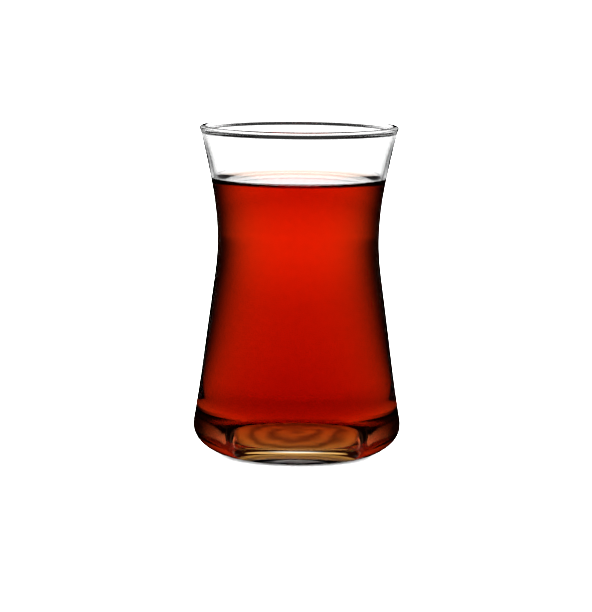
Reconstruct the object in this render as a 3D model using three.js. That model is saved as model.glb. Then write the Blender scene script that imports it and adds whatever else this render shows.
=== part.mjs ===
// A waisted tea glass, filled with black tea.
// Millimetres, +Z up. The glass stands on its foot at z = 0 and its axis is the Z axis.

import * as THREE from 'three';

// The lip: a round bead that bulges into the mouth, on a thin neck
const HEIGHT = 90.9;
const LIP_RADIUS = 27.27;
const LIP_LEAN = 0.226; // radius gained for each millimetre of height
const BEAD_RADIUS = 0.92;
const BEAD_TOP = 0.58; // from the middle of the bead up to the rim
const NECK_OUTSIDE = 0.73; // from the middle of the bead out to the neck's outer face
const NECK_INSIDE = 0.05; // and in to its inner face
const NECK_DROP = 1.48;
const NECK_PULL = 0.51;

// The outside, from the flare down to the foot
const FLARE_RADIUS = 23.95;
const FLARE_HEIGHT = 76.0;
const FLARE_LEAN = 0.2;
const WAIST_RADIUS = 22.15;
const WAIST_HEIGHT = 58.9;
const SIDE_RADIUS = 23.58;
const SIDE_HEIGHT = 44.3;
const SIDE_LEAN = -0.137;
const SHOULDER_RADIUS = 28.32;
const SHOULDER_HEIGHT = 10.26;
const SHOULDER_LEAN = -0.17;
const FOOT_RADIUS = 15.5;
const HEEL_FLAT = 4.7; // how far the heel keeps the foot's direction
const HEEL_DROP = 7.4; // how far it keeps the shoulder's

// The wall, the domed floor and the hollow under the foot
const FLARE_WALL = 1.2;
const WAIST_WALL = 1.5;
const SIDE_WALL = 1.7;
const SHOULDER_WALL = 1.99;
const SHOULDER_RISE = 6.29; // the inner shoulder sits higher than the outer one
const FLOOR_MIDDLE = 7.95;
const FLOOR_RADIUS = 14.16;
const FLOOR_HEIGHT = 6.04;
const FLOOR_LEAN = -0.27; // height gained for each millimetre of radius
const FLOOR_CROWN = 0.51; // part of the radius that keeps the middle's direction
const FLOOR_SKIRT = 0.07; // part of it that keeps the edge's
const CORNER_FLAT = 6.94;
const CORNER_DROP = 9.12;
const KICK_RADIUS = 14.42;
const KICK_HEIGHT = 1.49;
const KICK_FLAT = 0.45; // parts of the radius at which the hollow's handles sit
const KICK_STEEP = 0.89;

// The tea and its rise against the glass
const TEA_LEVEL = 75.4;
const MENISCUS_RISE = 1.5;
const MENISCUS_WIDTH = 5;
const MENISCUS_STEEP = 0.7;
const GAP = 0.3; // between tea and glass

// Steps along the profile, and segments round the axis
const SEGMENTS = 48;
const SIDE_STEPS = 5;
const ROUND_STEPS = 8;
const LIP_STEPS = 4;

const point = (radius, height) => new THREE.Vector2(radius, height);

// A place on the side: radius, height, and the radius gained for each millimetre of height.
const station = (radius, height, lean) => ({ radius, height, lean });

// The point that lies along the side from a station, this much higher.
const along = ({ radius, height, lean }, rise) => point(radius + lean * rise, height + rise);

// Points on a Bezier curve, without the first.
function bend(start, firstHandle, secondHandle, end, steps) {
  const curve = new THREE.CubicBezierCurve(start, firstHandle, secondHandle, end);
  return curve.getPoints(steps).slice(1);
}

// The smooth side between two stations.
function side(low, high) {
  const third = (high.height - low.height) / 3;
  return bend(along(low, 0), along(low, third), along(high, -third), along(high, 0), SIDE_STEPS);
}

// A wall from the edge of a floor, round the heel and up through its stations.
function wall(edge, handle, drop, stations) {
  const first = stations[0];
  const points = [edge, ...bend(edge, handle, along(first, -drop), along(first, 0), ROUND_STEPS)];
  for (let i = 1; i < stations.length; i += 1) {
    points.push(...side(stations[i - 1], stations[i]));
  }
  return points;
}

const upWall = point(LIP_LEAN, 1).normalize();
const outOfWall = point(upWall.y, -upWall.x);
const beadMiddle = point(LIP_RADIUS - BEAD_RADIUS, HEIGHT - BEAD_TOP);

// The point this far out of the wall and this far up along it from the middle of the bead.
function byTheBead(across, up) {
  return beadMiddle.clone().addScaledVector(outOfWall, across).addScaledVector(upWall, up);
}

// From the neck up to the top of the bead, as distances out of the wall and up along it.
function halfBead(neckFace) {
  const swell = bend(
    point(neckFace, -NECK_DROP),
    point(neckFace, NECK_PULL - NECK_DROP),
    point(BEAD_RADIUS, -NECK_PULL),
    point(BEAD_RADIUS, 0),
    LIP_STEPS,
  );
  const top = new THREE.EllipseCurve(0, 0, BEAD_RADIUS, BEAD_TOP, 0, Math.PI / 2);
  return [...swell, ...top.getPoints(LIP_STEPS).slice(1)];
}

// The lip, from the outer neck over to the inner one.
function lip() {
  const over = halfBead(NECK_OUTSIDE).map(({ x, y }) => byTheBead(x, y));
  const back = halfBead(NECK_INSIDE).map(({ x, y }) => byTheBead(-x, y));
  return [...over, ...back.reverse().slice(1)];
}

const outerNeck = byTheBead(NECK_OUTSIDE, -NECK_DROP);
const outside = [
  station(SHOULDER_RADIUS, SHOULDER_HEIGHT, SHOULDER_LEAN),
  station(SIDE_RADIUS, SIDE_HEIGHT, SIDE_LEAN),
  station(WAIST_RADIUS, WAIST_HEIGHT, 0),
  station(FLARE_RADIUS, FLARE_HEIGHT, FLARE_LEAN),
  station(outerNeck.x, outerNeck.y, LIP_LEAN),
];
const innerNeck = byTheBead(-NECK_INSIDE, -NECK_DROP);
const innerShoulder = SHOULDER_RADIUS - SHOULDER_WALL + SHOULDER_LEAN * SHOULDER_RISE;
const inside = [
  station(innerShoulder, SHOULDER_HEIGHT + SHOULDER_RISE, SHOULDER_LEAN),
  station(SIDE_RADIUS - SIDE_WALL, SIDE_HEIGHT, SIDE_LEAN),
  station(WAIST_RADIUS - WAIST_WALL, WAIST_HEIGHT, 0),
  station(FLARE_RADIUS - FLARE_WALL, FLARE_HEIGHT, FLARE_LEAN),
  station(innerNeck.x, innerNeck.y, LIP_LEAN),
];

// The hollow under the foot, from the axis out to the ring that the glass stands on.
function kick() {
  const middle = point(0, KICK_HEIGHT);
  const flat = point(KICK_RADIUS * KICK_FLAT, KICK_HEIGHT);
  const steep = point(KICK_RADIUS * KICK_STEEP, KICK_HEIGHT);
  return [middle, ...bend(middle, flat, steep, point(KICK_RADIUS, 0), ROUND_STEPS)];
}

function outerWall() {
  const foot = point(FOOT_RADIUS, 0);
  return wall(foot, point(FOOT_RADIUS + HEEL_FLAT, 0), HEEL_DROP, outside);
}

// The inside, from the middle of the domed floor up to the neck, drawn in by a gap.
function innerWall(gap) {
  const middle = point(0, FLOOR_MIDDLE + gap);
  const edge = point(FLOOR_RADIUS, FLOOR_HEIGHT + gap);
  const sloping = (run) => point(FLOOR_RADIUS + run, edge.y + FLOOR_LEAN * run);
  const crown = point(FLOOR_RADIUS * FLOOR_CROWN, middle.y);
  const skirt = sloping(-FLOOR_RADIUS * FLOOR_SKIRT);
  const dome = [middle, ...bend(middle, crown, skirt, edge, ROUND_STEPS).slice(0, -1)];
  const stations = inside.map(({ radius, height, lean }) => station(radius - gap, height, lean));
  return [...dome, ...wall(edge, sloping(CORNER_FLAT), CORNER_DROP, stations)];
}

// The profile turned round the Z axis. It runs from the bottom of the axis outwards and up.
function turned(profile) {
  return new THREE.LatheGeometry(profile, SEGMENTS).rotateX(Math.PI / 2);
}

function glassGeometry() {
  return turned([...kick(), ...outerWall(), ...lip(), ...innerWall(0).reverse()]);
}

function teaGeometry() {
  const contact = TEA_LEVEL + MENISCUS_RISE;
  const shell = innerWall(GAP);
  const next = shell.findIndex(({ y }) => y > contact);
  const last = shell[next - 1];
  const edge = last.clone().lerp(shell[next], (contact - last.y) / (shell[next].y - last.y));
  const meniscus = new THREE.QuadraticBezierCurve(
    edge,
    point(edge.x - MENISCUS_STEEP, TEA_LEVEL),
    point(edge.x - MENISCUS_WIDTH, TEA_LEVEL),
  );
  const surface = [...meniscus.getPoints(ROUND_STEPS), point(0, TEA_LEVEL)];
  return turned([...shell.slice(0, next), ...surface]);
}

function piece(name, geometry, material) {
  const mesh = new THREE.Mesh(geometry, material);
  mesh.name = name;
  return mesh;
}

const clearGlass = new THREE.MeshStandardMaterial({
  color: 0xeef3f1,
  roughness: 0.03,
  metalness: 0,
  transparent: true,
  opacity: 0.3,
});
const blackTea = new THREE.MeshStandardMaterial({
  color: 0xb8180a,
  roughness: 0.05,
  metalness: 0,
  transparent: true,
  opacity: 0.9,
});

const group = new THREE.Group();
group.add(piece('glass', glassGeometry(), clearGlass));
group.add(piece('tea', teaGeometry(), blackTea));

export default group;
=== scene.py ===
# %% [markdown]
# A glass of black tea
#
# The object is a waisted tea glass: a rounded lip on a flared mouth, a narrow waist, a wide
# belly and a thick foot that is pushed up in the middle. It is filled with dark red tea. Both
# pieces are solids of revolution, so each is made by spinning one profile, and most of the
# likeness comes from the way light bends through them.

# %% Load the frame
from math import atan, cos, degrees, pi, radians, sin

import bmesh
import bpy
from mathutils import Matrix, Vector, noise
from mathutils.geometry import interpolate_bezier


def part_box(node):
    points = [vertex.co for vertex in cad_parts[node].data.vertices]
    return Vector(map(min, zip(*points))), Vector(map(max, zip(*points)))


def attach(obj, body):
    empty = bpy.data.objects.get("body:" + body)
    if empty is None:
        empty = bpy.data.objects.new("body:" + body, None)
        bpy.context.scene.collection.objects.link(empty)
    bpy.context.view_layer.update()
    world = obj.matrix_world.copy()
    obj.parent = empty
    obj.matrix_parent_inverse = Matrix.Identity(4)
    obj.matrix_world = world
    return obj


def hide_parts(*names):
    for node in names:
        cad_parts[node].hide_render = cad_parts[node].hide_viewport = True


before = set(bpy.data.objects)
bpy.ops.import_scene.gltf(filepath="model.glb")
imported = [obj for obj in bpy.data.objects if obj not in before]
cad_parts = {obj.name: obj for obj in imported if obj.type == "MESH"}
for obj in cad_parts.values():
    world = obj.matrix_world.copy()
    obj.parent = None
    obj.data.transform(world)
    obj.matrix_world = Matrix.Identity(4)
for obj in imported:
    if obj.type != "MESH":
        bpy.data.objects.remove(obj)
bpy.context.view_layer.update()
MM = 0.001
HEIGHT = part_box("glass")[1][2]
print("the glass is", round(HEIGHT / MM, 2), "mm tall")

# %% [markdown]
# The camera
#
# The picture was taken with a long lens from a little above the lip, so the lip shows as a
# flat ellipse and the foot as a rounder one. Those two ellipses give the distance and the
# height of the camera. It looks down by a few degrees, and it is rolled by half a degree,
# because the photograph leans by that much.

# %% Camera
PICTURE_WIDTH = 592
PICTURE_HEIGHT = 612
CAMERA_DISTANCE = 1150 * MM
CAMERA_HEIGHT = 175.2 * MM
CAMERA_ROLL = radians(0.5)
PIXELS_PER_METRE = 3.6764 / MM
AXIS_COLUMN = 297.7
HORIZON_ROW = -186.2
SENSOR = 36.0
NEAREST = 0.01


def add_camera():
    """The photograph's camera, in front of the glass on -Y."""
    data = bpy.data.cameras.new("camera")
    camera = bpy.data.objects.new("camera", data)
    bpy.context.collection.objects.link(camera)
    focal_pixels = PIXELS_PER_METRE * CAMERA_DISTANCE
    data.sensor_width = SENSOR
    data.lens = SENSOR * focal_pixels / PICTURE_HEIGHT
    data.clip_start = NEAREST
    tilt = atan((PICTURE_HEIGHT / 2 - HORIZON_ROW) / focal_pixels)
    turn = atan((PICTURE_WIDTH / 2 - AXIS_COLUMN) / focal_pixels)
    aim = Matrix.Rotation(-turn, 4, "Z") @ Matrix.Rotation(pi / 2 - tilt, 4, "X")
    camera.matrix_world = (
        Matrix.Translation((0, -CAMERA_DISTANCE, CAMERA_HEIGHT))
        @ aim
        @ Matrix.Rotation(CAMERA_ROLL, 4, "Z")
    )
    bpy.context.scene.camera = camera
    print("lens", round(data.lens, 1), "mm, tilted down", round(degrees(tilt), 2), "degrees")
    return camera


camera = add_camera()

# %% [markdown]
# The profile of the glass
#
# The side of the glass runs through a few stations: shoulder, side, waist, flare and neck.
# Each has a radius, a height and a lean, which is the radius it gains for each millimetre of
# height. A drawn curve with many points would do as well, but stations can be changed one at
# a time. The inside has stations of its own, because the wall is thin at the neck and thick at
# the belly.

# %% Stations
LIP_RADIUS = 27.27 * MM
LIP_LEAN = 0.226
BEAD_RADIUS = 0.92 * MM
BEAD_TOP = 0.58 * MM
NECK_OUTSIDE = 0.73 * MM
NECK_INSIDE = 0.05 * MM
NECK_DROP = 1.48 * MM
FLARE_RADIUS = 23.95 * MM
FLARE_HEIGHT = 76.0 * MM
FLARE_LEAN = 0.2
WAIST_RADIUS = 22.15 * MM
WAIST_HEIGHT = 58.9 * MM
SIDE_RADIUS = 23.58 * MM
SIDE_HEIGHT = 44.3 * MM
SIDE_LEAN = -0.137
SHOULDER_RADIUS = 28.32 * MM
SHOULDER_HEIGHT = 10.26 * MM
SHOULDER_LEAN = -0.17
FLARE_WALL = 1.2 * MM
WAIST_WALL = 1.5 * MM
SIDE_WALL = 1.7 * MM
SHOULDER_WALL = 1.99 * MM
SHOULDER_RISE = 6.29 * MM


class Station:
    """A place on the side: radius, height, and radius gained for each unit of height."""

    def __init__(self, radius, height, lean):
        self.radius = radius
        self.height = height
        self.lean = lean

    def moved(self, rise):
        """The point that lies along the side from here, this much higher."""
        return Vector((self.radius + self.lean * rise, 0, self.height + rise))


up_wall = Vector((LIP_LEAN, 0, 1)).normalized()
out_of_wall = Vector((up_wall.z, 0, -up_wall.x))
bead_middle = Vector((LIP_RADIUS - BEAD_RADIUS, 0, HEIGHT - BEAD_TOP))


def by_the_bead(across, along):
    """The point this far out of the wall and this far up along it from the bead's middle."""
    return bead_middle + out_of_wall * across + up_wall * along


outer_neck = by_the_bead(NECK_OUTSIDE, -NECK_DROP)
inner_neck = by_the_bead(-NECK_INSIDE, -NECK_DROP)
outside = [
    Station(SHOULDER_RADIUS, SHOULDER_HEIGHT, SHOULDER_LEAN),
    Station(SIDE_RADIUS, SIDE_HEIGHT, SIDE_LEAN),
    Station(WAIST_RADIUS, WAIST_HEIGHT, 0),
    Station(FLARE_RADIUS, FLARE_HEIGHT, FLARE_LEAN),
    Station(outer_neck.x, outer_neck.z, LIP_LEAN),
]
inner_shoulder = SHOULDER_RADIUS - SHOULDER_WALL + SHOULDER_LEAN * SHOULDER_RISE
inside = [
    Station(inner_shoulder, SHOULDER_HEIGHT + SHOULDER_RISE, SHOULDER_LEAN),
    Station(SIDE_RADIUS - SIDE_WALL, SIDE_HEIGHT, SIDE_LEAN),
    Station(WAIST_RADIUS - WAIST_WALL, WAIST_HEIGHT, 0),
    Station(FLARE_RADIUS - FLARE_WALL, FLARE_HEIGHT, FLARE_LEAN),
    Station(inner_neck.x, inner_neck.z, LIP_LEAN),
]
print("wall at the neck", round((outer_neck - inner_neck).length / MM, 2), "mm")

# %% [markdown]
# Curves between stations
#
# The real side has no corners, because it was blown or pressed and then polished in a flame.
# One Bezier curve joins each station to the next. Its handles follow the lean of both, so the
# side stays smooth where two curves meet.

# %% Curves
STEP = 0.6 * MM
FEWEST_STEPS = 4


def bend(start, first_handle, second_handle, end, step=STEP):
    """Points along one Bezier curve, about a step apart, without the first."""
    steps = max(FEWEST_STEPS, round((end - start).length / step))
    return interpolate_bezier(start, first_handle, second_handle, end, steps + 1)[1:]


def side(low, high):
    """The smooth side between two stations."""
    third = (high.height - low.height) / 3
    return bend(low.moved(0), low.moved(third), high.moved(-third), high.moved(0))


def wall(start, handle, drop, stations):
    """A wall from the edge of a floor, round the heel and up through its stations."""
    first = stations[0]
    points = [start]
    points += bend(start, handle, first.moved(-drop), first.moved(0))
    for low, high in zip(stations, stations[1:]):
        points += side(low, high)
    return points


def straight(start, end):
    """Points along a straight line, about STEP apart, without the first."""
    steps = max(1, round((end - start).length / STEP))
    return [start.lerp(end, i / steps) for i in range(1, steps + 1)]


print("the outside has", sum(len(side(*pair)) for pair in zip(outside, outside[1:])), "points")

# %% [markdown]
# The lip
#
# Where the glass was cut from its mould, a flame melts the edge into a round bead that stands
# a little into the mouth. It shows as the two dark lines of the rim. Half of it is drawn at
# one side, from the neck up to the top, and half at the other, with smaller steps than the
# wall, because it is so tightly curved.

# %% Lip
BEAD_TURN = radians(6.5)
BEAD_STEP = 0.08 * MM
NECK_PULL = 0.51 * MM


def half_bead(neck_face):
    """From the neck up to the top of the bead, as distances across and along the wall."""
    neck = Vector((neck_face, 0, -NECK_DROP))
    low = Vector((BEAD_RADIUS * cos(BEAD_TURN), 0, -BEAD_RADIUS * sin(BEAD_TURN)))
    rising = Vector((sin(BEAD_TURN), 0, cos(BEAD_TURN)))
    pulled = neck + Vector((0, 0, NECK_PULL))
    points = bend(neck, pulled, low - rising * NECK_PULL, low, BEAD_STEP)
    arc = BEAD_TURN + pi / 2
    steps = round(arc * BEAD_RADIUS / BEAD_STEP)
    for i in range(1, steps + 1):
        angle = arc * i / steps - BEAD_TURN
        tall = BEAD_TOP if angle > 0 else BEAD_RADIUS
        points.append(Vector((BEAD_RADIUS * cos(angle), 0, tall * sin(angle))))
    return points


def lip():
    """The round bead of the lip, from the outer neck over to the inner one."""
    over = [by_the_bead(point.x, point.z) for point in half_bead(NECK_OUTSIDE)]
    back = [by_the_bead(-point.x, point.z) for point in half_bead(NECK_INSIDE)]
    return over + back[-2::-1]


print("the lip has", len(lip()), "points")

# %% [markdown]
# Foot, floor and the whole section
#
# The foot is thick, hollow underneath, and domed inside, so it works like a lens and throws a
# wide picture of its own underside to the front. The section therefore needs three more
# curves: the hollow under the foot, the domed floor, and the corner where the floor turns up
# into the wall. The points that the tea touches are marked as wet, because glass bends light
# less against tea than against air.

# %% Section
FOOT_RADIUS = 15.5 * MM
HEEL_FLAT = 4.7 * MM
HEEL_DROP = 7.4 * MM
FLOOR_MIDDLE = 7.95 * MM
FLOOR_RADIUS = 14.16 * MM
FLOOR_HEIGHT = 6.04 * MM
FLOOR_LEAN = -0.27
FLOOR_CROWN = 0.51
FLOOR_SKIRT = 0.07
CORNER_FLAT = 6.94 * MM
CORNER_DROP = 9.12 * MM
KICK_RADIUS = 14.42 * MM
KICK_HEIGHT = 1.49 * MM
KICK_FLAT = 0.45
KICK_STEEP = 0.89
TEA_LEVEL = 75.4 * MM
MENISCUS_RISE = 1.5 * MM
CONTACT = TEA_LEVEL + MENISCUS_RISE


def floor_line(soak=0):
    """The inner floor, from its middle out to the edge, sunk by what soaks into the glass."""
    middle = Vector((0, 0, FLOOR_MIDDLE - soak))
    edge = Vector((FLOOR_RADIUS, 0, FLOOR_HEIGHT - soak))
    crown = middle + Vector((FLOOR_RADIUS * FLOOR_CROWN, 0, 0))
    skirt = edge - Vector((1, 0, FLOOR_LEAN)) * FLOOR_RADIUS * FLOOR_SKIRT
    return [middle] + bend(middle, crown, skirt, edge)


def inner_wall(soak=0):
    """The inside from the edge of the floor up to the neck."""
    edge = Vector((FLOOR_RADIUS, 0, FLOOR_HEIGHT - soak))
    handle = edge + Vector((1, 0, FLOOR_LEAN)) * CORNER_FLAT
    stations = [Station(place.radius + soak, place.height, place.lean) for place in inside]
    return wall(edge, handle, CORNER_DROP, stations)


def kick_line():
    """The hollow under the foot, from the axis to the ring that the glass stands on."""
    middle = Vector((0, 0, KICK_HEIGHT))
    ring = Vector((KICK_RADIUS, 0, 0))
    return [middle] + bend(middle, middle + ring * KICK_FLAT, middle + ring * KICK_STEEP, ring)


def glass_section():
    """All points from under the foot, up the outside and down to the floor, and which are wet."""
    foot = Vector((FOOT_RADIUS, 0, 0))
    kick = kick_line()
    dry = kick + straight(kick[-1], foot)[:-1]
    dry += wall(foot, foot + Vector((HEEL_FLAT, 0, 0)), HEEL_DROP, outside)
    dry += lip()
    inner = (floor_line()[:-1] + inner_wall())[::-1]
    return dry + inner, [False] * len(dry) + [point.z < CONTACT for point in inner]


print("the floor is", round((FLOOR_MIDDLE - KICK_HEIGHT) / MM, 2), "mm thick in the middle")

# %% [markdown]
# Spinning a section
#
# A potter's wheel in code: the section is a chain of edges in the XZ plane, and the spin
# operator sweeps it once round the Z axis. The first and last copies are merged, the points
# on the axis are welded into one, and the normals are then made to point out of the piece.
# Edges that are really sharp stay sharp, so that the shading does not smear across them.

# %% Spin
SEGMENTS = 192
WELD = 0.001 * MM
SHARP = radians(50)


def spun(section, wet):
    """A closed shape made by turning a section once round the Z axis, its wet points marked."""
    shape = bmesh.new()
    mark = shape.verts.layers.float.new("wetted")
    chain = [shape.verts.new(point) for point in section]
    for vertex, touched in zip(chain, wet):
        vertex[mark] = touched
    edges = [shape.edges.new(pair) for pair in zip(chain, chain[1:])]
    bmesh.ops.spin(shape, geom=chain + edges, cent=(0, 0, 0), axis=(0, 0, 1),
                   angle=2 * pi, steps=SEGMENTS, use_merge=True)
    bmesh.ops.remove_doubles(shape, verts=shape.verts, dist=WELD)
    bmesh.ops.recalc_face_normals(shape, faces=shape.faces)
    for face in shape.faces:
        face.smooth = True
    for edge in shape.edges:
        edge.smooth = edge.calc_face_angle(0) < SHARP
    return shape


def finished(name, shape):
    """The shape as an object at the origin."""
    mesh = bpy.data.meshes.new(name)
    shape.to_mesh(mesh)
    shape.free()
    piece = bpy.data.objects.new(name, mesh)
    bpy.context.collection.objects.link(piece)
    print(name, "has", sum(len(face.vertices) - 2 for face in mesh.polygons), "triangles")
    return piece


print("a section is turned in", SEGMENTS, "steps of", 360 / SEGMENTS, "degrees")

# %% [markdown]
# Chill ripples and the glass
#
# The floor of a pressed glass is never quite even: it cools against the plunger and keeps
# faint, wandering rings. They could be a bump map, but the light bends at the floor, so real
# height is better. Each point of the floor is lifted or sunk by a few hundredths of a
# millimetre, and the tea gets the same ripples, so that both still meet.

# %% Glass
RIPPLE_DEPTH = 0.06 * MM
RIPPLE_WIDTH = 3.2 * MM
RIPPLE_WANDER = 4.4
RIPPLE_GRAIN = 110.0
RIPPLE_FADE = 4
FLOOR_LOWEST = 3.5 * MM
FLOOR_HIGHEST = 16 * MM


def ripple(place):
    """How far the floor lies above its smooth form at a place, in uneven rings."""
    radius = place.xy.length
    fade = 1 - (radius / FLOOR_RADIUS) ** RIPPLE_FADE
    wander = noise.noise(Vector((place.x, place.y, 0)) * RIPPLE_GRAIN) * RIPPLE_WANDER
    return RIPPLE_DEPTH * fade * sin(2 * pi * radius / RIPPLE_WIDTH + wander)


def rippled(shape):
    """The shape with ripples in its floor."""
    middle = [vertex for vertex in shape.verts if vertex.co.xy.length < FLOOR_RADIUS]
    floor = [vertex for vertex in middle if FLOOR_LOWEST < vertex.co.z < FLOOR_HIGHEST]
    for vertex in floor:
        vertex.co.z += ripple(vertex.co)
    print(len(floor), "points of the floor are rippled")
    return shape


tea_glass = finished("tea_glass", rippled(spun(*glass_section())))
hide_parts("glass")
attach(tea_glass, "root")

# %% [markdown]
# The tea
#
# The tea fills the glass to well below the lip and climbs the wall by a millimetre or so, which
# gives the dark line at its front and the pale band at its back. It is the inside of the glass
# again, spun once more. It reaches a hair's breadth into the wall: two surfaces in the same
# place would flicker, and a gap between them would shine like a film of air.

# %% Tea
MENISCUS_WIDTH = 5 * MM
MENISCUS_STEEP = 0.7 * MM
MENISCUS_PULL = 2 / 3
SOAK = 0.05 * MM
SURFACE_STEP = 0.08 * MM


def tea_section():
    """From the middle of the floor, up just inside the wall and over the surface."""
    shell = inner_wall(SOAK)
    below = [point for point in shell if point.z < CONTACT]
    above = shell[len(below)]
    last = below[-1]
    edge = last.lerp(above, (CONTACT - last.z) / (above.z - last.z))
    steep = Vector((edge.x - MENISCUS_STEEP, 0, TEA_LEVEL))
    rest = Vector((edge.x - MENISCUS_WIDTH, 0, TEA_LEVEL))
    first_handle = edge.lerp(steep, MENISCUS_PULL)
    second_handle = rest.lerp(steep, MENISCUS_PULL)
    surface = bend(edge, first_handle, second_handle, rest, SURFACE_STEP)
    surface += straight(rest, Vector((0, 0, TEA_LEVEL)))
    touching = floor_line(SOAK)[:-1] + below + [edge]
    return touching + surface, [True] * len(touching) + [False] * len(surface)


tea_fill = finished("tea_fill", rippled(spun(*tea_section())))
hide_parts("tea")
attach(tea_fill, "root")

# %% [markdown]
# Writing shaders as sums
#
# A material is a small calculation for each point of a surface. Adding nodes by hand hides
# that calculation, so two short classes make it readable: one fills a node tree, and the
# other stands for a value in it, so that `1 - mask` or `height * 0.5` add the Math nodes.

# %% Values in a shader
class Value:
    """A number or a colour that flows through a shader. Arithmetic on it adds Math nodes."""

    def __init__(self, shader, socket):
        self.shader = shader
        self.socket = socket

    def maths(self, operation, *numbers):
        """One Math node that works on these numbers, of which some are values."""
        sockets = dict(enumerate(numbers))
        return self.shader.node("ShaderNodeMath", {"operation": operation}, sockets)

    def __add__(self, other):
        return self.maths("ADD", self, other)

    def __sub__(self, other):
        return self.maths("SUBTRACT", self, other)

    def __rsub__(self, other):
        return self.maths("SUBTRACT", other, self)

    def __mul__(self, other):
        return self.maths("MULTIPLY", self, other)

    def __truediv__(self, other):
        return self.maths("DIVIDE", self, other)

    def __rtruediv__(self, other):
        return self.maths("DIVIDE", other, self)

    def __pow__(self, other):
        return self.maths("POWER", self, other)

    def clamped(self):
        """The value kept between nothing and one."""
        return self.maths("MINIMUM", self.maths("MAXIMUM", self, 0.0), 1.0)

    def mixed(self, low, high):
        """The colour between two colours at which this value stands, from nothing to one."""
        return self.shader.node("ShaderNodeMix", {"data_type": "RGBA"}, {
            "Factor": self, "A": low, "B": high,
        }, output="Result")

    __radd__ = __add__
    __rmul__ = __mul__


print("arithmetic on a Value adds Math nodes")


# %% Node trees
class Shader:
    """The node tree of a material or of the world, emptied and ready to be filled."""

    def __init__(self, owner):
        owner.use_nodes = True
        self.tree = owner.node_tree
        self.tree.nodes.clear()

    def node(self, kind, settings=None, sockets=None, output=0):
        """Add a node with its settings and its sockets, and give one of its outputs."""
        made = self.tree.nodes.new(kind)
        for name, setting in (settings or {}).items():
            if name == "stops":
                self.set_stops(made.color_ramp.elements, setting)
            else:
                setattr(made, name, setting)
        for name, given in (sockets or {}).items():
            if isinstance(given, Value):
                self.tree.links.new(given.socket, made.inputs[name])
            else:
                made.inputs[name].default_value = given
        return Value(self, made.outputs[output]) if made.outputs else made

    @staticmethod
    def set_stops(elements, stops):
        """Give a colour ramp these stops, each a place and a grey."""
        while len(elements) < len(stops):
            elements.new(1.0)
        for element, (place, grey) in zip(elements, stops):
            element.position = place
            element.color = (grey, grey, grey, 1.0)

    def place(self):
        """Where the point lies in its object, as a vector and as right, back and up."""
        inside_object = self.node("ShaderNodeTexCoord", output="Object")
        axes = self.node("ShaderNodeSeparateXYZ", {}, {"Vector": inside_object}).socket.node
        return inside_object, [Value(self, socket) for socket in axes.outputs]

    def clear(self, bending, tint=(1.0, 1.0, 1.0, 1.0), roughness=0.0):
        """The surface of something clear that bends light by this much."""
        return self.node("ShaderNodeBsdfPrincipled", {}, {
            "Base Color": tint, "Roughness": roughness, "IOR": bending, "Transmission Weight": 1.0,
        })

    def finish(self, surface, losses=None):
        """Show a surface, over a depth that takes this much light out of each metre."""
        sockets = {"Surface": surface}
        if losses:
            most = max(losses)
            tint = [1 - loss / most for loss in losses] + [1.0]
            sockets["Volume"] = self.node("ShaderNodeVolumeAbsorption", {}, {
                "Color": tint, "Density": most,
            })
        self.node("ShaderNodeOutputMaterial", {}, sockets)


print("a Shader fills the node tree of a material or of the world")

# %% [markdown]
# Clear glass
#
# Soda-lime glass is almost colourless; only its depth is a little green. Its sides are polished
# by the flame, but the hollow under the foot keeps the stipple of the mould, in uneven rings.
# The darker rings are painted shade in the glass's colour, standing in for deep stipple that turns
# more light away. A picture of the underside could be painted, but a wandering cosine of the radius
# gives the same rings at any size. Against the tea the glass bends light only as much as the two
# differ.

# %% Clear glass
GLASS_BENDING = 1.52
TEA_BENDING = 1.333
GLASS_LOSS = (0.4, 0.12, 0.24)
STIPPLE = 0.6
STIPPLE_RADIUS = 13 * MM
STIPPLE_EDGE = 1 * MM
STIPPLE_MARGIN = 0.1 * MM
RING_WIDTH = 4.5 * MM
RING_WANDER = 1.1
RING_GRAIN = 200.0
# Painted shade: the colour that darkens the stippled rings under the foot, in place of light turned
# away by deep stipple.
PAINTED_RING_SHADE = (0.08, 0.06, 0.05, 1.0)
WHITE = (1.0, 1.0, 1.0, 1.0)


def clear_glass():
    """Fire-polished glass with a stippled underside darkened in rings by painted shade, in air or
    against the tea.
    """
    material = bpy.data.materials.new("clear_glass")
    shader = Shader(material)
    place, (right, back, up) = shader.place()
    radius = right.maths("SQRT", right * right + back * back)
    under = up.maths("LESS_THAN", up, KICK_HEIGHT + STIPPLE_MARGIN)
    stippled = under * ((STIPPLE_RADIUS - radius) / STIPPLE_EDGE).clamped()
    wander = shader.node("ShaderNodeTexNoise", {}, {"Vector": place, "Scale": RING_GRAIN})
    turns = radius / RING_WIDTH + (wander - 0.5) * RING_WANDER
    ring = turns.maths("COSINE", turns * (2 * pi)) * 0.5 + 0.5
    # Painted shade: the glass's colour is darkened along the stippled rings.
    tint = (ring * stippled).mixed(WHITE, PAINTED_RING_SHADE)
    dry = shader.clear(GLASS_BENDING, tint, stippled * STIPPLE)
    wet = shader.clear(GLASS_BENDING / TEA_BENDING)
    wetted = shader.node("ShaderNodeAttribute", {"attribute_name": "wetted"}, output="Fac")
    shader.finish(shader.node("ShaderNodeMixShader", {}, {0: wetted, 1: dry, 2: wet}), GLASS_LOSS)
    print("clear glass has", len(shader.tree.nodes), "nodes")
    return material


tea_glass.data.materials.append(clear_glass())

# %% [markdown]
# Black tea
#
# Brewed tea is clear. Its colour lies in its depth, which takes out blue first, then green, and
# at last red, so a thin layer is amber and a thick one dark red. A tinted surface would look
# the same everywhere; absorption darkens each ray by the way that it has gone. The skin that
# touches the glass is left invisible, because the glass already bends the light there.

# %% Black tea
TEA_LOSS = (23.7, 124.0, 194.0)


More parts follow.
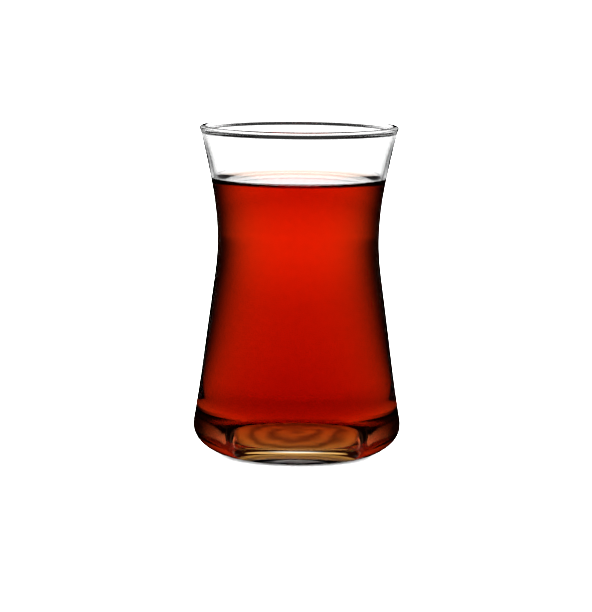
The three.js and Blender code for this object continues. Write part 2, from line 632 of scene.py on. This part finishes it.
def black_tea():
    """A clear red liquid with a free surface and a hidden skin."""
    material = bpy.data.materials.new("black_tea")
    shader = Shader(material)
    free = shader.clear(TEA_BENDING)
    hidden = shader.node("ShaderNodeBsdfTransparent")
    wetted = shader.node("ShaderNodeAttribute", {"attribute_name": "wetted"}, output="Fac")
    shader.finish(shader.node("ShaderNodeMixShader", {}, {0: wetted, 1: free, 2: hidden}), TEA_LOSS)
    print("black tea has", len(shader.tree.nodes), "nodes")
    return material


tea_fill.data.materials.append(black_tea())

# %% [markdown]
# The studio's light
#
# Clear things show only what stands around them. Here that is taken to be a bright sweep behind
# the glass, brighter than white, which fades to the sides and ends a little above it, so that
# the edges, the lip and the tea's rim draw dark lines. Three lights stand for it: a disc on the
# floor, a wide dome, and a small warm disc for what comes up through the foot. They show only
# through the glass, and they turn with the camera, as a turntable would keep the glass in front
# of the same sweep.

# %% Helpers for the studio
BRIGHTEST = 3.0


def stage_piece(name, shape, material):
    """A piece of the studio, which is not part of the object."""
    mesh = bpy.data.meshes.new(name)
    shape.to_mesh(mesh)
    shape.free()
    mesh.materials.append(material)
    piece = bpy.data.objects.new(name, mesh)
    bpy.context.collection.objects.link(piece)
    print("added", name)
    return piece


def disc(radius, height):
    """A flat round shape at a height."""
    shape = bmesh.new()
    bmesh.ops.create_circle(shape, cap_ends=True, segments=SEGMENTS, radius=radius)
    bmesh.ops.translate(shape, verts=shape.verts, vec=(0, 0, height))
    return shape


def ball(radius):
    """A round shape about the origin."""
    shape = bmesh.new()
    bmesh.ops.create_uvsphere(shape, u_segments=SEGMENTS, v_segments=SEGMENTS // 2, radius=radius)
    return shape


def glowing(name, light):
    """A material that shines as a function of right, back and up says."""
    material = bpy.data.materials.new(name)
    shader = Shader(material)
    colour = light(*shader.place()[1])
    shader.finish(shader.node("ShaderNodeEmission", {}, {"Color": colour, "Strength": BRIGHTEST}))
    return material


def dimmed(colour):
    """A light's colour as a part of the brightest."""
    return [part / BRIGHTEST for part in colour] + [1.0]


print("lights are written as parts of", BRIGHTEST)

# %% [markdown]
# The sweep behind the glass
#
# A filled glass is a strong lens that turns left and right round, so the middle of the tea
# shows what is straight behind it, and its edges show what stands far to the sides. The sweep
# is brightest straight behind and falls off like a bell, which makes the sides of the tea dark.
# Its brightness also changes with the distance on the floor and the height on the dome. Two
# lists of stops give that, and could be painted as pictures, but a ramp is easier to change.

# %% Sweep of light
BELL_POWER = 2.7
BELL_REST = 0.012
DOME_BELL = 29.5
FLOOR_BELL = 23.0
FLOOR_BELL_NEAR = 300.0
FLOOR_BELL_FAR = 443.0
FLOOR_BELL_GROWTH = 3.0
NEAR_ROOM = 0.5
FLOOR_GLOW_RADIUS = 0.8
# The dim light within about 50 mm of the axis is a painted shadow of the glass on the floor around
# its foot.
# Millimetres from the axis, and the light there
FLOOR_GLOW = [
    (0, 0.1), (25, 0.1), (50, 0.8), (78, 1.3), (139, 1.5), (195, 1.57), (263, 1.95),
    (360, 2.12), (800, 2.2),
]
DOME_RADIUS = 4.0
# Degrees above the horizon, and the light there
DOME_GLOW = [
    (-90, 2.2), (-6, 2.2), (-2.4, 2.1), (-0.7, 1.95), (0.8, 1.8), (1.5, 1.7), (2.5, 1.75),
    (4, 2.0), (7, 2.0), (9.5, 0.8), (13, 0.15), (20, 0.04), (90, 0.03),
]


def bell(value, width):
    """A soft hump with steep sides, about zero, that never quite goes dark."""
    part = value.maths("ABSOLUTE", value) / width
    return part.maths("EXPONENT", part ** BELL_POWER * -1.0) * (1 - BELL_REST) + BELL_REST


def ramp(value, low, high, stops):
    """The brightness at a value, read from stops between a low and a high end."""
    places = [((place - low) / (high - low), light / BRIGHTEST) for place, light in stops]
    along = (value - low) / (high - low)
    return value.shader.node("ShaderNodeValToRGB", {"stops": places}, {"Fac": along})


def floor_glow(right, back, up):
    """The sweep on the floor, by its distance in millimetres and its turn from straight behind.

    The ramp runs along a power of the distance, which leaves more room for what is near.
    """
    radius = right.maths("SQRT", right * right + back * back) / MM
    turn = right.maths("ARCTAN2", right, back) * degrees(1)
    stops = [(place ** NEAR_ROOM, light) for place, light in FLOOR_GLOW]
    light = ramp(radius ** NEAR_ROOM, 0, (FLOOR_GLOW_RADIUS / MM) ** NEAR_ROOM, stops)
    widening = (radius / FLOOR_BELL_FAR) ** FLOOR_BELL_GROWTH
    width = FLOOR_BELL + FLOOR_BELL_NEAR / radius + widening
    return light * bell(turn, width)


def dome_glow(right, back, up):
    """The sweep above the floor, by its height and its turn in degrees."""
    turn = right.maths("ARCTAN2", right, back) * degrees(1)
    height = up.maths("ARCSINE", up / DOME_RADIUS) * degrees(1)
    return ramp(height, -90, 90, DOME_GLOW) * bell(turn, DOME_BELL)


print("the sweep falls off", DOME_BELL, "degrees to each side")

# %% [markdown]
# The warm light under the foot
#
# The thick foot glows amber, as it would where light comes down through the tea and is thrown
# back up from what the glass stands on. Following that light by chance takes very many samples,
# so a small disc under the foot gives it: amber at the back, dimmer in front, and pale where
# light slips in under the front edge.

# %% Warm light under the foot
FOOT_FRONT = (0.4, 0.32, 0.18)
FOOT_BACK = (3.0, 1.4, 0.2)
FOOT_DARK = -14 * MM
FOOT_BRIGHT = 4 * MM
RIM_LIGHT = (1.6, 1.45, 1.2)
RIM_START = -12.5 * MM
RIM_FULL = -14 * MM


def foot_glow(right, back, up):
    """Dim in front and amber at the back, with pale light under the front edge."""
    light = ((back - FOOT_DARK) / (FOOT_BRIGHT - FOOT_DARK)).clamped()
    warm = light.mixed(dimmed(FOOT_FRONT), dimmed(FOOT_BACK))
    rim = ((back - RIM_START) / (RIM_FULL - RIM_START)).clamped()
    return rim.mixed(warm, dimmed(RIM_LIGHT))


print("the light under the foot is", round(2 * FOOT_RADIUS / MM, 1), "mm across")

# %% [markdown]
# A stand for the lights
#
# An empty carries the three lights, and a constraint keeps it facing the camera, so the sweep is
# behind the glass from every side. The discs lie a few hundredths of a millimetre under the
# foot, so that no two faces share a plane. They are hidden from everything but light that
# passes through the glass.

# %% Stand that turns with the camera
FLOOR_LIGHT_DEPTH = -0.03 * MM
FOOT_LIGHT_DEPTH = -0.025 * MM

stand = bpy.data.objects.new("studio_stand", None)
bpy.context.collection.objects.link(stand)
facing = stand.constraints.new("LOCKED_TRACK")
facing.target = camera
facing.track_axis = "TRACK_NEGATIVE_Y"
facing.lock_axis = "LOCK_Z"

floor_shape = disc(FLOOR_GLOW_RADIUS, FLOOR_LIGHT_DEPTH)
foot_shape = disc(FOOT_RADIUS, FOOT_LIGHT_DEPTH)
floor_light = stage_piece("floor_light", floor_shape, glowing("floor_glow", floor_glow))
foot_light = stage_piece("foot_light", foot_shape, glowing("foot_glow", foot_glow))
dome_light = stage_piece("dome_light", ball(DOME_RADIUS), glowing("dome_glow", dome_glow))
for light in (floor_light, foot_light, dome_light):
    light.parent = stand
    light.visible_camera = False
    light.visible_diffuse = False
    light.visible_glossy = False
    light.visible_shadow = False

# %% [markdown]
# Floor and surround
#
# The photograph's ground is plain white with hardly a shadow. A pale board lies under the
# glass, and a white ball round everything lights it evenly from all sides. Neither shows
# through the glass, which has its own lights.

# %% Floor and surround
FLOOR_SIZE = 12.0
FLOOR_DEPTH = -0.02 * MM
FLOOR_PALE = (0.9, 0.9, 0.9, 1.0)
SURROUND_RADIUS = 5.0
SURROUND_LIGHT = 12.0


def pale_floor():
    """Matt white board."""
    material = bpy.data.materials.new("pale_floor")
    shader = Shader(material)
    shader.finish(shader.node("ShaderNodeBsdfDiffuse", {}, {"Color": FLOOR_PALE}))
    return material


def white_surround():
    """Even white light."""
    material = bpy.data.materials.new("white_surround")
    shader = Shader(material)
    shader.finish(shader.node("ShaderNodeEmission", {}, {"Color": WHITE, "Strength": SURROUND_LIGHT}))
    return material


board = bmesh.new()
bmesh.ops.create_grid(board, x_segments=1, y_segments=1, size=FLOOR_SIZE / 2)
bmesh.ops.translate(board, verts=board.verts, vec=(0, 0, FLOOR_DEPTH))
floor = stage_piece("floor", board, pale_floor())
surround = stage_piece("surround", ball(SURROUND_RADIUS), white_surround())
surround.visible_shadow = False
for backdrop in (floor, surround):
    backdrop.visible_transmission = False
    backdrop.visible_glossy = False

# %% [markdown]
# The dark rest of the studio, and how far light is followed
#
# Whatever the lights leave out is black, as in a darkened studio. A ray crosses many walls on
# its way through a filled glass, so light is followed further than usual.

# %% World and bounces
BOUNCES = 32
BLACK = (0.0, 0.0, 0.0, 1.0)

scene = bpy.context.scene
world = bpy.data.worlds.new("dark_studio")
scene.world = world
shader = Shader(world)
dark = shader.node("ShaderNodeBackground", {}, {"Color": BLACK})
shader.node("ShaderNodeOutputWorld", {}, {"Surface": dark})
scene.view_settings.view_transform = "Standard"
scene.cycles.max_bounces = BOUNCES
scene.cycles.transmission_bounces = BOUNCES
scene.cycles.glossy_bounces = BOUNCES
scene.cycles.transparent_max_bounces = BOUNCES
print("light is followed through", BOUNCES, "surfaces")
